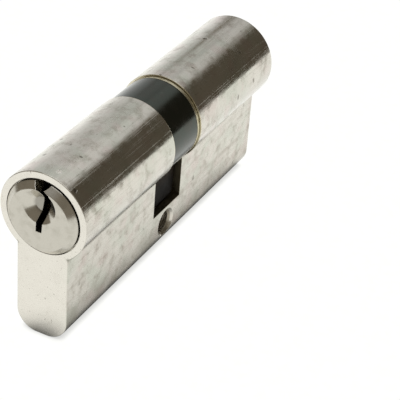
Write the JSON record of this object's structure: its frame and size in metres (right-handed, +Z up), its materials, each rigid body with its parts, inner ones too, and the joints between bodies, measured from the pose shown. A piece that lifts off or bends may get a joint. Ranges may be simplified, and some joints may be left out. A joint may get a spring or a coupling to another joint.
{
  "type": "euro cylinder",
  "caption": "Double euro profile lock cylinder with a clutched cam, keyed plugs at both ends, pin stacks in the stem and a tapped hole for the fixing screw.",
  "frame": {"origin": "on the plug axis, in the plane of the fixing screw, at the middle of the cam's recess", "axes": "+Y along the plug axis from the front face to the rear face; +Z up from the stem towards the barrel; +X across the stem, along the fixing screw"},
  "size_m": [0.017, 0.0726, 0.033],
  "materials": {
    "nickel_plated_brass": "satin nickel plate over brass",
    "plug_nickel": "nickel plate, turned",
    "cap_brass": "plain pressed brass",
    "pin_brass": "turned",
    "driver_steel": "turned and hardened",
    "spring_wire": "drawn",
    "spring_steel": "yellow passivated",
    "blackened_steel": "black oxide",
    "sintered_steel": "sintered"
  },
  "bodies": {
    "housing": {"housing": "nickel_plated_brass", "front_chamber_caps": "cap_brass", "rear_chamber_caps": "cap_brass", "front_spring_1": "spring_wire", "front_spring_2": "spring_wire", "front_spring_3": "spring_wire", "front_spring_4": "spring_wire", "front_spring_5": "spring_wire", "rear_spring_1": "spring_wire", "rear_spring_2": "spring_wire", "rear_spring_3": "spring_wire", "rear_spring_4": "spring_wire", "rear_spring_5": "spring_wire"},
    "front_plug": {"front_plug": "plug_nickel", "front_circlip": "spring_steel"},
    "rear_plug": {"rear_plug": "plug_nickel", "rear_circlip": "spring_steel"},
    "cam": {"cam": "blackened_steel"},
    "clutch": {"clutch": "sintered_steel"},
    "front_key_pin_1": {"front_key_pin_1": "pin_brass"},
    "front_driver_1": {"front_driver_1": "driver_steel"},
    "front_key_pin_2": {"front_key_pin_2": "pin_brass"},
    "front_driver_2": {"front_driver_2": "driver_steel"},
    "front_key_pin_3": {"front_key_pin_3": "pin_brass"},
    "front_driver_3": {"front_driver_3": "driver_steel"},
    "front_key_pin_4": {"front_key_pin_4": "pin_brass"},
    "front_driver_4": {"front_driver_4": "driver_steel"},
    "front_key_pin_5": {"front_key_pin_5": "pin_brass"},
    "front_driver_5": {"front_driver_5": "driver_steel"},
    "rear_key_pin_1": {"rear_key_pin_1": "pin_brass"},
    "rear_driver_1": {"rear_driver_1": "driver_steel"},
    "rear_key_pin_2": {"rear_key_pin_2": "pin_brass"},
    "rear_driver_2": {"rear_driver_2": "driver_steel"},
    "rear_key_pin_3": {"rear_key_pin_3": "pin_brass"},
    "rear_driver_3": {"rear_driver_3": "driver_steel"},
    "rear_key_pin_4": {"rear_key_pin_4": "pin_brass"},
    "rear_driver_4": {"rear_driver_4": "driver_steel"},
    "rear_key_pin_5": {"rear_key_pin_5": "pin_brass"},
    "rear_driver_5": {"rear_driver_5": "driver_steel"}
  },
  "joints": [
    {"name": "front_plug_turn", "type": "hinge", "parent": "housing", "child": "front_plug", "pos_m": [0, 0, 0], "axis": [0, 1, 0], "continuous": true},
    {"name": "rear_plug_turn", "type": "hinge", "parent": "housing", "child": "rear_plug", "pos_m": [0, 0, 0], "axis": [0, 1, 0], "continuous": true},
    {"name": "cam_turn", "type": "hinge", "parent": "housing", "child": "cam", "pos_m": [0, 0, 0], "axis": [0, 1, 0], "continuous": true},
    {"name": "clutch_slide", "type": "slide", "parent": "cam", "child": "clutch", "axis": [0, 1, 0], "range_m": [0, 0.002]},
    {"name": "front_key_pin_1_lift", "type": "slide", "parent": "front_plug", "child": "front_key_pin_1", "axis": [0, 0, 1], "range_m": [0, 0.0025]},
    {"name": "front_key_pin_2_lift", "type": "slide", "parent": "front_plug", "child": "front_key_pin_2", "axis": [0, 0, 1], "range_m": [0, 0.0025]},
    {"name": "front_key_pin_3_lift", "type": "slide", "parent": "front_plug", "child": "front_key_pin_3", "axis": [0, 0, 1], "range_m": [0, 0.0025]},
    {"name": "front_key_pin_4_lift", "type": "slide", "parent": "front_plug", "child": "front_key_pin_4", "axis": [0, 0, 1], "range_m": [0, 0.0025]},
    {"name": "front_key_pin_5_lift", "type": "slide", "parent": "front_plug", "child": "front_key_pin_5", "axis": [0, 0, 1], "range_m": [0, 0.0025]},
    {"name": "rear_key_pin_1_lift", "type": "slide", "parent": "rear_plug", "child": "rear_key_pin_1", "axis": [0, 0, 1], "range_m": [0, 0.0025]},
    {"name": "rear_key_pin_2_lift", "type": "slide", "parent": "rear_plug", "child": "rear_key_pin_2", "axis": [0, 0, 1], "range_m": [0, 0.0025]},
    {"name": "rear_key_pin_3_lift", "type": "slide", "parent": "rear_plug", "child": "rear_key_pin_3", "axis": [0, 0, 1], "range_m": [0, 0.0025]},
    {"name": "rear_key_pin_4_lift", "type": "slide", "parent": "rear_plug", "child": "rear_key_pin_4", "axis": [0, 0, 1], "range_m": [0, 0.0025]},
    {"name": "rear_key_pin_5_lift", "type": "slide", "parent": "rear_plug", "child": "rear_key_pin_5", "axis": [0, 0, 1], "range_m": [0, 0.0025]},
    {"name": "front_driver_1_push", "type": "slide", "parent": "housing", "child": "front_driver_1", "axis": [0, 0, 1], "range_m": [-0.0025, 0], "stiffness_N_per_m": 80, "springref_m": 0.006, "deforming": ["front_spring_1"]},
    {"name": "front_driver_2_push", "type": "slide", "parent": "housing", "child": "front_driver_2", "axis": [0, 0, 1], "range_m": [-0.0025, 0], "stiffness_N_per_m": 80, "springref_m": 0.006, "deforming": ["front_spring_2"]},
    {"name": "front_driver_3_push", "type": "slide", "parent": "housing", "child": "front_driver_3", "axis": [0, 0, 1], "range_m": [-0.0025, 0], "stiffness_N_per_m": 80, "springref_m": 0.006, "deforming": ["front_spring_3"]},
    {"name": "front_driver_4_push", "type": "slide", "parent": "housing", "child": "front_driver_4", "axis": [0, 0, 1], "range_m": [-0.0025, 0], "stiffness_N_per_m": 80, "springref_m": 0.006, "deforming": ["front_spring_4"]},
    {"name": "front_driver_5_push", "type": "slide", "parent": "housing", "child": "front_driver_5", "axis": [0, 0, 1], "range_m": [-0.0025, 0], "stiffness_N_per_m": 80, "springref_m": 0.006, "deforming": ["front_spring_5"]},
    {"name": "rear_driver_1_push", "type": "slide", "parent": "housing", "child": "rear_driver_1", "axis": [0, 0, 1], "range_m": [-0.0025, 0], "stiffness_N_per_m": 80, "springref_m": 0.006, "deforming": ["rear_spring_1"]},
    {"name": "rear_driver_2_push", "type": "slide", "parent": "housing", "child": "rear_driver_2", "axis": [0, 0, 1], "range_m": [-0.0025, 0], "stiffness_N_per_m": 80, "springref_m": 0.006, "deforming": ["rear_spring_2"]},
    {"name": "rear_driver_3_push", "type": "slide", "parent": "housing", "child": "rear_driver_3", "axis": [0, 0, 1], "range_m": [-0.0025, 0], "stiffness_N_per_m": 80, "springref_m": 0.006, "deforming": ["rear_spring_3"]},
    {"name": "rear_driver_4_push", "type": "slide", "parent": "housing", "child": "rear_driver_4", "axis": [0, 0, 1], "range_m": [-0.0025, 0], "stiffness_N_per_m": 80, "springref_m": 0.006, "deforming": ["rear_spring_4"]},
    {"name": "rear_driver_5_push", "type": "slide", "parent": "housing", "child": "rear_driver_5", "axis": [0, 0, 1], "range_m": [-0.0025, 0], "stiffness_N_per_m": 80, "springref_m": 0.006, "deforming": ["rear_spring_5"]}
  ],
  "couplings": [
    {"joint": "cam_turn", "follows": "front_plug_turn", "ratio": 1}
  ]
}
